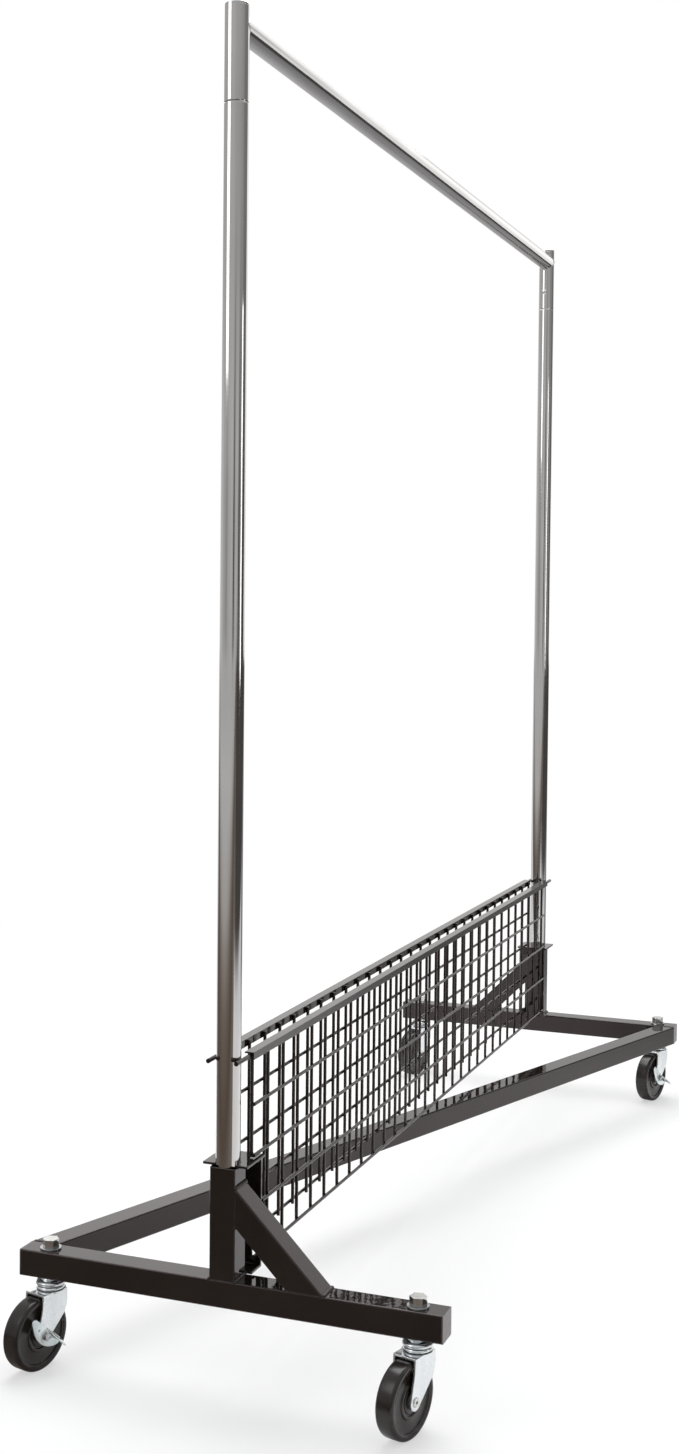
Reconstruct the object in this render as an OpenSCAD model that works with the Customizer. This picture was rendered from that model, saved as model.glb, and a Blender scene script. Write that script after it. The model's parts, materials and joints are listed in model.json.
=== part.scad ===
// Rolling clothes rack: a Z-shaped tube base on four swivel casters, two chromed
// uprights with a lift-off top rail, and a folding wire shelf in two halves.
// Millimetres, +Z up. The origin is on the floor at the middle of the rack's outline,
// X runs along the hang rail and Y across the rack.

/* [Show] */
// which piece to show

/* [Overall size] */
// distance between the axes of the two uprights
post_span = 1575; // [1200:5:1900]
// length of each end bar, across the rack
base_width = 585; // [480:5:700]
// height of the top of the uprights above the floor
rack_height = 1751; // [1400:1:2100]
// height of the joint between upright and top section, below the top
joint_drop = 124; // [95:1:160]
// height of the rail's axis, below the top
rail_drop = 26; // [22:1:40]

/* [Base tubes] */
// outside width of the square base tube
tube = 35; // [30:0.5:45]
// wall of the square base tube
tube_wall = 1.5; // [1.2:0.1:2.5]
// outside corner radius of the square tube
tube_corner = 2; // [1.6:0.1:3]
// thickness of the cap on each end of an end bar
plug_lip = 1.5; // [1:0.1:3]
// depth of the cap's insert inside the tube
plug_depth = 14; // [8:1:25]
// play between a cap's insert and the tube
plug_play = 0.2; // [0.1:0.05:0.5]
// height of the upright's socket, flange included
socket_height = 146.5; // [125:0.5:220]
// play between the upright and the inside of its socket
socket_play = 0.3; // [0.3:0.05:1]
// distance along the end bar from the upright's axis to the toe of the brace
brace_reach = 137; // [100:1:180]

/* [Uprights and rail] */
// outside diameter of uprights, top stubs and rail
post_d = 32; // [26:0.1:33]
// wall of the round tubes
post_wall = 1.5; // [1.2:0.1:2]
// radial clearance between a spigot and the tubes it joins
spigot_clear = 0.05; // [0.02:0.01:0.1]
// wall of the spigot
spigot_wall = 2; // [1.5:0.1:3]
// length of the spigot on each side of the joint
spigot_reach = 60; // [50:1:80]
// open groove between upright and top stub
joint_gap = 0.6; // [0.3:0.1:1.5]
// thickness of the cap on a stub
cap_height = 4; // [3:0.5:8]
// edge rounding of the cap
cap_round = 2; // [1:0.1:3]
// diameter of the snap button
button_d = 8; // [6:0.5:10]
// radial clearance around the snap button
button_clear = 0.1; // [0.05:0.01:0.3]
// how far the button stands out of the tube
button_out = 2.4; // [1.5:0.1:4]
// height of the button above the joint
button_rise = 36; // [20:1:44]

/* [Shelf] */
// height of the shelf's top edge above the base, folded up
shelf_rise = 283.6; // [249:0.1:329]
// height of the shelf's pivot above the base
pivot_rise = 11; // [7:0.5:29]
// distance of each pivot from the rack's middle plane
pivot_y = 17; // [12:0.5:20]
// diameter of the pivot pins and of the catch rods
rod_d = 6; // [5:0.1:7]
// radial clearance of a pivot pin in its slot and lug
pin_clear = 0.1; // [0.03:0.01:0.1]
// diameter of the mesh wire
wire_d = 4.6; // [3.5:0.1:5]
// spacing of the upright wires
wire_pitch_x = 51.5; // [40:0.5:60]
// spacing of the long wires
wire_pitch_z = 66; // [50:0.5:70]
// height of the lowest long wire above the base
low_wire_rise = 18.5; // [17:0.5:39]
// least space between an upright's axis and the outermost upright wires
wire_margin = 40; // [36:1:65]
// number of long wires in each half
long_wire_count = 4; // [3:1:4]
// offset of the front half's upright wires along X
front_shift = -13.75; // [-14:0.25:14]
// offset of the back half's upright wires along X
back_shift = -5.5; // [-14:0.25:14]
// width of the shelf bar's flat top leg
bar_leg = 13; // [11:0.5:16]
// height of the shelf bar's upright leg
bar_lip = 9.8; // [8:0.1:14]
// thickness of the shelf bar
bar_thick = 2; // [1.5:0.1:3]
// how far the shelf bars' outermost faces stand out past the uprights
bar_past = 9; // [7:0.5:12]
// gap between a shelf bar's end and the upright's axis
bar_end_gap = 22.5; // [19:0.5:40]
// how far a catch rod runs past the upright's axis
catch_past = 20.5; // [17:0.5:24]
// gap between a catch rod and the upright
catch_gap = 0.3; // [0.3:0.1:1]

/* [Shelf brackets] */
// width of the bracket's flange across the rack
flange_width = 61.6; // [50:0.1:80]
// width of the hanging plate across the rack
plate_width = 53; // [46:0.5:60]
// thickness of the bracket's sheet
sheet = 3; // [2:0.1:4]
// how far the flange runs outward of the upright's axis
flange_out = 8.8; // [5:0.1:17]
// how far the flange runs inward of the upright's axis
flange_in = 48; // [40:0.5:60]
// radial gap between the flange's hole and the upright
flange_play = 0.3; // [0.3:0.05:1]
// height of the slot's upper end above the pivot
slot_rise = 59; // [45:1:65]
// height of the slot's side mouth
mouth_height = 8; // [7:0.5:12]
// height of the mouth's middle above the pivot
mouth_rise = 41; // [25:1:45]

/* [Casters] */
// wheel diameter
wheel_d = 95; // [78:0.2:115]
// wheel width over the tread
wheel_width = 25; // [20:1:32]
// distance from the swivel axis back to the axle
caster_trail = 28; // [24:1:34]
// distance from the swivel axis to the end of the end bar
caster_inset = 37; // [30:1:60]
// direction that the casters point in, from +X
caster_heading = -15; // [-180:5:180]
// height of the swivel bearing between base and fork crown
bearing_height = 16.5; // [14:0.5:24]
// gap between the wheel and the fork's crown
crown_gap = 2; // [2:0.5:8]
// thickness of the fork's crown and legs
fork_sheet = 2.5; // [2:0.1:3.5]
// inside distance between the fork's legs
fork_inside = 28; // [27:1:40]
// diameter of the caster bolt
bolt_d = 12; // [10:0.5:14]
// width across the flats of the bolt's head
bolt_flats = 19; // [17:0.5:22]
// height of the bolt's head
bolt_head = 11; // [6:0.5:12]
// thickness of the washer under the head
washer_height = 2.5; // [1.5:0.1:4]
// diameter of the washer
washer_d = 28; // [24:0.5:32]
// thickness of the thin nut under the fork's crown
lock_nut = 3.5; // [3:0.1:4]
// diameter of the axle
axle_d = 8; // [6:0.5:10]
// radial clearance of a turning fit
turn_clear = 0.05; // [0.02:0.01:0.1]
// diameter of a bearing ball
ball_d = 5; // [4:0.25:6]
// number of balls in each bearing
ball_count = 10; // [8:1:12]
// radius of the ring of balls
ball_ring = 13; // [12:0.25:15]
// thickness of the brake lever
lever_sheet = 2; // [1.5:0.1:2.2]
// how far the brake's pedal stands out from its plate
pedal_out = 20; // [14:1:26]
// angle of the brake's pedal below the horizontal, let off
lever_drop = 40; // [20:1:50]

/* [Hidden] */
$fn = 64;
eps = 0.01;
half_span = post_span / 2;
half_width = base_width / 2;
base_z = wheel_d + crown_gap + fork_sheet + bearing_height;
base_top = base_z + tube;
pivot_z = base_top + pivot_rise;
low_wire_z = base_top + low_wire_rise;
shelf_top = base_top + shelf_rise;
post_r = post_d / 2;
bar_out = post_r + bar_past;
// as many upright wires as fit between the uprights
wire_count = 1 + floor((post_span - 2 * wire_margin) / wire_pitch_x);
joint_z = rack_height - joint_drop;
rail_z = rack_height - rail_drop;
socket_wall = (tube - post_d) / 2 - socket_play;
socket_top = base_top + socket_height - sheet;
flange_top = base_top + socket_height;
caster_y = half_width - caster_inset;
wheel_r = wheel_d / 2;
crown_z = wheel_d + crown_gap;
race_z = crown_z + fork_sheet;
race_top = race_z + 4.8;
seat_z = race_top + 0.5;
ball_z = (race_top + seat_z) / 2;
leg_in = fork_inside / 2;
leg_out = leg_in + fork_sheet;
// the casters all trail one way, so the outline's middle is off the middle of the bars
mid_x = caster_trail * cos(caster_heading);
// angle of the diagonal bar, its edges flush with the end bars' corners
diag_a = half_span - tube / 2;
diag_angle = atan2(half_width, diag_a)
    - asin((tube / 2) / sqrt(diag_a * diag_a + half_width * half_width));
nut_flats = 13;
// distance of the pedal's outer face from the axle's middle, clear of the bolt's head
pedal_y = nut_flats / 2 / cos(30) + 0.4 + lever_sheet;
plate_x = half_span - flange_in;
lug_x = plate_x - 21.5;
wire_r = wire_d / 2;
rod_r = rod_d / 2;
black = [0.12, 0.10, 0.09];
chrome = [0.78, 0.79, 0.80];
zinc = [0.72, 0.75, 0.78];
tyre = [0.15, 0.14, 0.14];

// ---- placing ----

// local +X points from an upright to the middle of the rack; end 0 is near, 1 is far
module at_end(end) {
    translate([mid_x + (end == 0 ? -half_span : half_span), 0, 0])
        rotate([0, 0, end * 180])
            children();
}

// middle of the bars, on the floor
module at_mid() {
    translate([mid_x, 0, 0])
        children();
}

// caster 0 is near +Y, 1 near -Y, 2 far +Y, 3 far -Y; local +X is the way it points
module at_caster(k) {
    translate([mid_x + (k < 2 ? -half_span : half_span), (k % 2 == 0 ? caster_y : -caster_y), 0])
        rotate([0, 0, caster_heading])
            children();
}

// all four casters
module at_casters() {
    for (k = [0:3])
        at_caster(k)
            children();
}

// the wheel's centre, with local Z turned along the axle towards -Y
module at_axle() {
    translate([-caster_trail, 0, wheel_r])
        rotate([90, 0, 0])
            children();
}

// ---- shared shapes ----

// square with round corners
module round_square(w, r) {
    square([w, w - 2 * r], center = true);
    square([w - 2 * r, w], center = true);
    for (x = [-1, 1])
        for (y = [-1, 1])
            translate([x * (w / 2 - r), y * (w / 2 - r)])
                circle(r = r);
}

// section of the square tube
module square_tube(w, wall, r) {
    difference() {
        round_square(w, r);
        round_square(w - 2 * wall, max(r - wall, 0.5));
    }
}

// round tube along Z
module round_tube(d, wall, h) {
    difference() {
        cylinder(d = d, h = h);
        translate([0, 0, -1])
            cylinder(d = d - 2 * wall, h = h + 2);
    }
}

// hexagonal prism by its width across flats
module hex(flats, h) {
    cylinder(r = flats / 2 / cos(30), h = h, $fn = 6);
}

// ---- base ----

// end bar with a bolt hole through both walls at each caster
module end_bar(end) {
    color(black)
        at_end(end)
            difference() {
                translate([0, 0, base_z + tube / 2])
                    rotate([90, 0, 0])
                        linear_extrude(height = base_width - 2 * plug_lip, center = true)
                            square_tube(tube, tube_wall, tube_corner);
                for (s = [-1, 1])
                    translate([0, s * caster_y, base_z - 1])
                        cylinder(d = bolt_d + 0.6, h = tube + 2);
            }
}

// diagonal bar, mitred to the inner faces of both end bars
module diagonal_bar() {
    color(black)
        at_mid()
            intersection() {
                translate([0, 0, base_z + tube / 2])
                    rotate([0, 0, -diag_angle])
                        rotate([90, 0, 90])
                            linear_extrude(height = post_span + base_width, center = true)
                                square_tube(tube, tube_wall, tube_corner);
                translate([-diag_a, -base_width, base_z - 1])
                    cube([2 * diag_a, 2 * base_width, tube + 2]);
            }
}

// pressed-in caps of the four open tube ends
module bar_plugs() {
    color(black)
        for (end = [0, 1])
            at_end(end)
                for (s = [-1, 1])
                    translate([0, s * (half_width - plug_lip), base_z + tube / 2])
                        rotate([-90 * s, 0, 0]) {
                            linear_extrude(height = plug_lip)
                                round_square(tube, tube_corner);
                            translate([0, 0, -plug_depth])
                                linear_extrude(height = plug_depth + eps)
                                    round_square(tube - 2 * tube_wall - 2 * plug_play, 0.6);
                        }
}

// square socket that takes the foot of an upright
module post_socket(end) {
    color(black)
        at_end(end)
            translate([0, 0, base_top])
                linear_extrude(height = socket_height - sheet)
                    square_tube(tube, socket_wall, tube_corner);
}

// 45 degree brace between the socket and the end bar
module brace(end) {
    color(black)
        at_end(end)
            intersection() {
                translate([0, -(brace_reach - tube / 2 * sqrt(2)), base_top])
                    rotate([-45, 0, 0])
                        translate([0, 0, -tube * 2])
                            linear_extrude(height = brace_reach * 2 + tube * 2)
                                square_tube(tube, tube_wall, tube_corner);
                translate([-tube, -tube / 2 - brace_reach * 2, base_top])
                    cube([2 * tube, brace_reach * 2, brace_reach * 2]);
            }
}

// flange on the socket with a plate hanging from its inner edge
module shelf_bracket(end) {
    color(black)
        at_end(end)
            difference() {
                union() {
                    translate([-flange_out, -flange_width / 2, socket_top])
                        cube([flange_out + flange_in, flange_width, sheet]);
                    translate([flange_in - sheet, -plate_width / 2, base_top])
                        cube([sheet, plate_width, socket_height - sheet + eps]);
                    translate([tube / 2, -plate_width / 2, base_top])
                        cube([flange_in - tube / 2 - eps, plate_width, sheet]);
                }
                translate([0, 0, socket_top - 1])
                    cylinder(r = post_r + flange_play, h = sheet + 2);
                for (s = [-1, 1])
                    bracket_slot(s);
            }
}

// upright slot for one pivot pin, with a mouth at the plate's edge
module bracket_slot(s) {
    slot_r = rod_r + pin_clear;
    translate([flange_in - sheet - 1, s * pivot_y, pivot_z]) {
        rotate([0, 90, 0])
            cylinder(r = slot_r, h = sheet + 2);
        translate([0, 0, slot_rise])
            rotate([0, 90, 0])
                cylinder(r = slot_r, h = sheet + 2);
        translate([0, -slot_r, 0])
            cube([sheet + 2, 2 * slot_r, slot_rise]);
        translate([0, s > 0 ? 0 : -plate_width, mouth_rise - mouth_height / 2])
            cube([sheet + 2, plate_width, mouth_height]);
    }
}

// ---- uprights and rail ----

// upright, standing on the end bar inside its socket
module post(end) {
    color(chrome)
        at_end(end)
            translate([0, 0, base_top])
                round_tube(post_d, post_wall, joint_z - base_top);
}

// inner tube that joins an upright to its top stub
module spigot(end) {
    color(zinc)
        at_end(end)
            difference() {
                translate([0, 0, joint_z - spigot_reach])
                    round_tube(post_d - 2 * post_wall - 2 * spigot_clear, spigot_wall, 2 * spigot_reach);
                button_hole(button_d / 2 + button_clear);
            }
}

// short tube at each end of the rail
module top_stub(end) {
    color(chrome)
        at_end(end)
            difference() {
                translate([0, 0, joint_z + joint_gap])
                    round_tube(post_d, post_wall, joint_drop - joint_gap - cap_height);
                button_hole(button_d / 2 + button_clear);
            }
}

// hole for the snap button, on the side that faces the middle of the rack
module button_hole(r) {
    translate([0, 0, joint_z + button_rise])
        rotate([0, 90, 0])
            cylinder(r = r, h = post_d);
}

// round-edged cap on a stub
module stub_cap(end) {
    color(chrome)
        at_end(end)
            translate([0, 0, rack_height - cap_height])
                rotate_extrude() {
                    square([post_r, cap_height - cap_round]);
                    square([post_r - cap_round, cap_height]);
                    intersection() {
                        translate([post_r - cap_round, cap_height - cap_round])
                            circle(r = cap_round);
                        square([post_r, cap_height]);
                    }
                    translate([0, -6])
                        square([post_r - post_wall - 0.1, 6 + eps]);
                }
}

// hang rail with saddle-cut ends, welded to the stubs
module hang_rail() {
    color(chrome)
        difference() {
            at_mid()
                translate([-half_span, 0, rail_z])
                    rotate([0, 90, 0])
                        round_tube(post_d, post_wall, post_span);
            for (end = [0, 1])
                at_end(end)
                    translate([0, 0, rail_z - post_d])
                        cylinder(r = post_r + 0.05, h = 2 * post_d);
        }
}

// sprung button that locks a stub on its spigot
module snap_button(end) {
    tip = post_r + button_out;
    color(zinc)
        at_end(end)
            translate([0, 0, joint_z + button_rise])
                rotate([0, 90, 0])
                    rotate_extrude() {
                        translate([0, post_r - post_wall - spigot_wall - 4])
                            square([button_d / 2, tip - 1.5 - (post_r - post_wall - spigot_wall - 4)]);
                        translate([0, tip - 1.5 - eps])
                            square([button_d / 2 - 1.5, 1.5 + eps]);
                        intersection() {
                            translate([button_d / 2 - 1.5, tip - 1.5])
                                circle(r = 1.5);
                            translate([0, tip - 2])
                                square([button_d / 2, 2]);
                        }
                        translate([0, post_r - post_wall - spigot_wall - 3.2])
                            square([button_d / 2 + 1, 1.4]);
                    }
}

// ---- shelf ----

// angle bar along the top edge; the upright leg is on the -Y side of both halves
module shelf_bar(lip_y) {
    color(black)
        at_mid()
            rotate([90, 0, 90])
                linear_extrude(height = post_span - 2 * bar_end_gap, center = true) {
                    translate([lip_y, shelf_top - bar_lip])
                        square([bar_thick, bar_lip]);
                    translate([lip_y, shelf_top - bar_thick])
                        square([bar_leg, bar_thick]);
                }
}

// wire mesh: upright wires, with long wires welded on one side of them
module shelf_mesh(wire_y, long_y, shift, top) {
    first = shift - (wire_count - 1) * wire_pitch_x / 2;
    last = shift + (wire_count - 1) * wire_pitch_x / 2;
    clear_x = plate_x - 4;
    color(black)
        at_mid() {
            for (i = [0:wire_count - 1])
                mesh_upright(first + i * wire_pitch_x, wire_y, top, clear_x);
            for (j = [0:long_wire_count - 1])
                mesh_long(low_wire_z + j * wire_pitch_z, long_y,
                    min(first - 2.6, -lug_x - 4), max(last + 2.6, lug_x + 4), clear_x);
        }
}

// one upright wire; those beside an upright stop above the bracket
module mesh_upright(x, y, top, clear_x) {
    low = abs(x) + wire_r > clear_x ? flange_top + 1.7 : low_wire_z - 3;
    translate([x, y, low])
        cylinder(d = wire_d, h = top - low);
}

// one long wire; those below the bracket's flange stop short of the hanging plates
module mesh_long(z, y, from, to, clear_x) {
    low = z - wire_r < flange_top + 1;
    x0 = low ? max(from, -clear_x) : from;
    x1 = low ? min(to, clear_x) : to;
    translate([x0, y, z])
        rotate([0, 90, 0])
            cylinder(d = wire_d, h = x1 - x0);
}

// front half: wires behind the bar's lip, long wires on their outer side
module shelf_mesh_front() {
    wire_y = -bar_out + bar_thick + wire_r + 0.1;
    shelf_mesh(wire_y, wire_y - wire_d + 0.4, front_shift, shelf_top - bar_thick - rod_d - 0.2);
}

// back half: wires in front of the bar's lip, long wires on their outer side
module shelf_mesh_back() {
    wire_y = bar_out - bar_leg - wire_r - 0.1;
    shelf_mesh(wire_y, wire_y + wire_d - 0.4, back_shift, shelf_top - bar_thick);
}

// rod under the bar's top leg; its ends stop the half against the uprights
module catch_rod(s) {
    color(black)
        at_mid()
            translate([-half_span - catch_past, s * (post_r + rod_r + catch_gap), shelf_top - bar_thick - rod_r - 0.1])
                rotate([0, 90, 0])
                    cylinder(d = rod_d, h = post_span + 2 * catch_past);
}

// lugs that carry the lowest long wire on the pivot pins
module pivot_lugs(s, long_y) {
    dy = long_y - s * pivot_y;
    dz = low_wire_z - pivot_z;
    reach = sqrt(dy * dy + dz * dz);
    color(black)
        for (end = [0, 1])
            at_mid()
                translate([(end == 0 ? -1 : 1) * lug_x, s * pivot_y, pivot_z])
                    rotate([90, 0, 90])
                        linear_extrude(height = 4, center = true)
                            difference() {
                                union() {
                                    circle(r = rod_r + 3);
                                    translate([dy, dz])
                                        circle(r = wire_r + 2);
                                    rotate([0, 0, atan2(dz, dy)])
                                        translate([0, -4])
                                            square([reach, 8]);
                                }
                                circle(r = rod_r + pin_clear);
                                translate([dy, dz])
                                    circle(r = wire_r + 0.05);
                            }
}

// headed pins that turn in the brackets' slots
module pivot_pins(s) {
    color(black)
        for (end = [0, 1])
            at_end(end)
                translate([flange_in, (end == 0 ? s : -s) * pivot_y, pivot_z])
                    rotate([0, 90, 0]) {
                        translate([0, 0, -12])
                            cylinder(d = rod_d, h = 38);
                        translate([0, 0, -8])
                            cylinder(r = rod_r + 1.6, h = 2);
                        translate([0, 0, 25])
                            cylinder(r = rod_r + 1.6, h = 2);
                    }
}

// ---- casters ----

// hexagon bolts down through the end bars
module caster_bolts() {
    color(zinc)
        at_casters() {
            translate([0, 0, base_top + washer_height])
                hex(bolt_flats, bolt_head);
            translate([0, 0, crown_z - lock_nut - 0.5])
                cylinder(d = bolt_d, h = base_top + washer_height - crown_z + lock_nut + 0.5 + eps);
        }
}

// plain washers under the bolt heads
module caster_washers() {
    color(zinc)
        at_casters()
            translate([0, 0, base_top])
                difference() {
                    cylinder(d = washer_d, h = washer_height);
                    translate([0, 0, -1])
                        cylinder(d = bolt_d + 0.4, h = washer_height + 2);
                }
}

// thin lock nuts under the fork crowns
module caster_nuts() {
    color(zinc)
        at_casters()
            translate([0, 0, crown_z - lock_nut - 0.3])
                difference() {
                    hex(bolt_flats, lock_nut);
                    translate([0, 0, -1])
                        cylinder(d = bolt_d + 2 * turn_clear, h = 8);
                }
}

// fixed upper cup of each swivel bearing, clamped under the end bar
module caster_seats() {
    color(zinc)
        at_casters()
            difference() {
                union() {
                    translate([0, 0, seat_z])
                        rolled_ring(19.8, 3);
                    translate([0, 0, seat_z + 5])
                        cylinder(r1 = 14.5, r2 = 16.5, h = base_z - seat_z - 5);
                }
                translate([0, 0, seat_z - 1])
                    cylinder(d = bolt_d + 0.4, h = base_z);
                ball_track();
            }
}

// disc with a full round edge
module rolled_ring(r, edge) {
    rotate_extrude() {
        square([r - edge, 2 * edge]);
        translate([r - edge, edge])
            circle(r = edge);
    }
}

// round groove for the balls
module ball_track() {
    translate([0, 0, ball_z])
        rotate_extrude()
            translate([ball_ring, 0])
                circle(d = ball_d + 0.2);
}

// ring of balls between the two cups
module swivel_balls() {
    color(zinc)
        at_casters()
            for (i = [0:ball_count - 1])
                rotate([0, 0, i * 360 / ball_count])
                    translate([ball_ring, 0, ball_z])
                        sphere(d = ball_d);
}

// swivel fork: lower cup, crown plate and two legs down to the axle
module fork(k) {
    color(zinc)
        at_caster(k)
            difference() {
                union() {
                    translate([0, 0, race_top - 5.2])
                        rolled_ring(18.6, 2.6);
                    translate([0, 0, crown_z])
                        linear_extrude(height = fork_sheet)
                            crown_outline();
                    for (s = [-1, 1])
                        translate([0, s * (leg_in + fork_sheet / 2), 0])
                            rotate([90, 0, 0])
                                linear_extrude(height = fork_sheet, center = true)
                                    leg_outline();
                }
                translate([0, 0, crown_z - 1])
                    cylinder(r = bolt_d / 2 + turn_clear, h = 20);
                ball_track();
                at_axle()
                    cylinder(r = axle_d / 2 + turn_clear, h = 60, center = true);
            }
}

// outline of the crown plate, with square corners on the wheel's side
module crown_outline() {
    circle(r = 20);
    translate([-29, -leg_out])
        square([39, 2 * leg_out]);
}

// outline of a leg, raked back to the axle
module leg_outline() {
    polygon([
        [-29, crown_z + fork_sheet / 2],
        [14, crown_z + fork_sheet / 2],
        [14.4, crown_z - 12],
        [12.4, crown_z - 22],
        [8, crown_z - 31],
        [-caster_trail + 7.4, wheel_r - 7.4],
        [-caster_trail - 10.2, wheel_r + 2.4],
        [-caster_trail - 6, wheel_r + 18],
        [-30.2, crown_z - 15]
    ]);
    translate([-caster_trail, wheel_r])
        circle(r = 10.5);
}

// moulded wheel with a rounded tread and stepped hub rings
module wheel(k) {
    half = wheel_width / 2;
    color(tyre)
        at_caster(k)
            at_axle()
                rotate_extrude() {
                    wheel_ring(axle_d / 2 + turn_clear, 9.5, leg_in - 0.6);
                    wheel_ring(9.5 - eps, 15, half - 2);
                    wheel_ring(15 - eps, 17.5, half - 3.5);
                    wheel_ring(17.5 - eps, 22, half - 1.5);
                    wheel_ring(22 - eps, wheel_r - 9.5, half - 3.6);
                    wheel_ring(wheel_r - 9.5 - eps, wheel_r - 7, half - 1.2);
                    wheel_ring(wheel_r - 7 - eps, wheel_r - 4.5, half);
                    wheel_ring(wheel_r - 4.5 - eps, wheel_r, half - 4.5);
                    for (s = [-1, 1])
                        translate([wheel_r - 4.5, s * (half - 4.5)])
                            circle(r = 4.5);
                }
}

// one ring of the wheel's section, from radius to radius
module wheel_ring(r0, r1, half) {
    translate([r0, -half])
        square([r1 - r0, 2 * half]);
}

// axle through fork and wheel: a bolt where it also carries a brake, else a hollow rivet
module axle(k) {
    head = lever_face(k);
    color(zinc)
        at_caster(k)
            at_axle()
                difference() {
                    union() {
                        translate([0, 0, -leg_out - 9])
                            cylinder(d = axle_d, h = leg_out + 9 + head + eps);
                        translate([0, 0, head])
                            if (braked(k)) {
                                hex(nut_flats, 5.3);
                            } else {
                                cylinder(r1 = axle_d / 2 + 2, r2 = axle_d / 2 + 1.2, h = 1.3);
                            }
                    }
                    if (!braked(k))
                        translate([0, 0, head - 6])
                            cylinder(d = axle_d / 2, h = 10);
                }
}

// the casters on two opposite corners have brakes
function braked(k) = k == 0 || k == 3;

// distance from the wheel's middle to the underside of the axle's head
function lever_face(k) = braked(k) ? leg_out + lever_sheet + 0.8 : leg_out + 0.2;

// nut on the axle's other end
module axle_nut(k) {
    color(zinc)
        at_caster(k)
            at_axle()
                translate([0, 0, -leg_out - 6.7])
                    difference() {
                        hex(nut_flats, 6.5);
                        translate([0, 0, -1])
                            cylinder(r = axle_d / 2 + turn_clear, h = 9);
                    }
}

// foot brake: a long plate on the axle, its upper edge turned out into a pedal
module brake_lever(k) {
    color(zinc)
        at_caster(k)
            at_axle()
                rotate([0, 0, -lever_drop])
                    translate([0, 0, leg_out + 0.4])
                        difference() {
                            union() {
                                linear_extrude(height = lever_sheet)
                                    lever_outline();
                                translate([0, pedal_y, 0])
                                    rotate([90, 0, 0])
                                        linear_extrude(height = lever_sheet)
                                            pedal_outline();
                            }
                            translate([0, 0, -1])
                                cylinder(r = axle_d / 2 + turn_clear, h = lever_sheet + 2);
                        }
}

// outline of the lever's plate, its straight upper edge along X
module lever_outline() {
    polygon([
        [-33, pedal_y], [28, pedal_y], [29.5, 2], [26, -4.5], [16, -6.5],
        [5, -10.5], [-6, -10.5], [-15, -7.5], [-23, -2], [-33, -1.5]
    ]);
    translate([-33, (pedal_y - 1.5) / 2])
        circle(d = pedal_y + 1.5);
}

// outline of the pedal, seen along the lever's plate
module pedal_outline() {
    polygon([
        [-12, 0], [4, 4.5], [13, pedal_out - 3], [17, pedal_out],
        [24, pedal_out], [28, pedal_out - 4], [28, 0]
    ]);
}

// ---- pieces ----

end_bar(0);  // end_bar_near
end_bar(1);  // end_bar_far
diagonal_bar();
bar_plugs();
post_socket(0);  // post_socket_near
post_socket(1);  // post_socket_far
brace(0);  // brace_near
brace(1);  // brace_far
shelf_bracket(0);  // shelf_bracket_near
shelf_bracket(1);  // shelf_bracket_far
post(0);  // post_near
post(1);  // post_far
spigot(0);  // spigot_near
spigot(1);  // spigot_far
top_stub(0);  // top_stub_near
top_stub(1);  // top_stub_far
stub_cap(0);  // stub_cap_near
stub_cap(1);  // stub_cap_far
hang_rail();
snap_button(0);  // snap_button_near
snap_button(1);  // snap_button_far
shelf_bar(-bar_out);  // shelf_bar_front
shelf_bar(bar_out - bar_leg);  // shelf_bar_back
shelf_mesh_front();
shelf_mesh_back();
catch_rod(-1);  // catch_rod_front
catch_rod(1);  // catch_rod_back
pivot_lugs(-1, -bar_out + bar_thick - wire_r + 0.5);  // pivot_lugs_front
pivot_lugs(1, bar_out - bar_leg + wire_r - 0.5);  // pivot_lugs_back
pivot_pins(-1);  // pivot_pins_front
pivot_pins(1);  // pivot_pins_back
caster_bolts();
caster_washers();
caster_nuts();
caster_seats();
swivel_balls();
fork(0);  // fork_a
fork(1);  // fork_b
fork(2);  // fork_c
fork(3);  // fork_d
wheel(0);  // wheel_a
wheel(1);  // wheel_b
wheel(2);  // wheel_c
wheel(3);  // wheel_d
axle(0);  // axle_a
axle(1);  // axle_b
axle(2);  // axle_c
axle(3);  // axle_d
axle_nut(0);  // axle_nut_a
axle_nut(1);  // axle_nut_b
axle_nut(2);  // axle_nut_c
axle_nut(3);  // axle_nut_d
brake_lever(0);  // brake_lever_a
brake_lever(3);  // brake_lever_d
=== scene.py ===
import json
import math
import random

import bpy
from mathutils import Matrix, Vector

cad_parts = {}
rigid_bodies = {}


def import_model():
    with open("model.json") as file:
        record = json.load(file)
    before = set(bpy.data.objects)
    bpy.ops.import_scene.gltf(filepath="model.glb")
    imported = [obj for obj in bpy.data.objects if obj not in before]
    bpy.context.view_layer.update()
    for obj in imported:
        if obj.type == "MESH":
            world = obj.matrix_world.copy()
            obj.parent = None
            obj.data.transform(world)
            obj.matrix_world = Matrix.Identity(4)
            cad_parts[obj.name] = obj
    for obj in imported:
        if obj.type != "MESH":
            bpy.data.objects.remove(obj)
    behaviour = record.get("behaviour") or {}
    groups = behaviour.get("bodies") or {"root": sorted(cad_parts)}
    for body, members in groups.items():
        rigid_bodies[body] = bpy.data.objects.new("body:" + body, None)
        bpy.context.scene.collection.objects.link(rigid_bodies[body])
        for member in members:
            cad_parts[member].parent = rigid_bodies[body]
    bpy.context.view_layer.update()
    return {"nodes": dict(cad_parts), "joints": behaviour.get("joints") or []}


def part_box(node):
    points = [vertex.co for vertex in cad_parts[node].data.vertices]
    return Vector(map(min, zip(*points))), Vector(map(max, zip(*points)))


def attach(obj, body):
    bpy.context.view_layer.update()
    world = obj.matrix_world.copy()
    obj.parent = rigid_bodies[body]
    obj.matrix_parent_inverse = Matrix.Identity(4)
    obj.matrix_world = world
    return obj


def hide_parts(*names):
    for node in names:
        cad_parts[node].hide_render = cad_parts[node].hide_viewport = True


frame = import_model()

random.seed(7)

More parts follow.
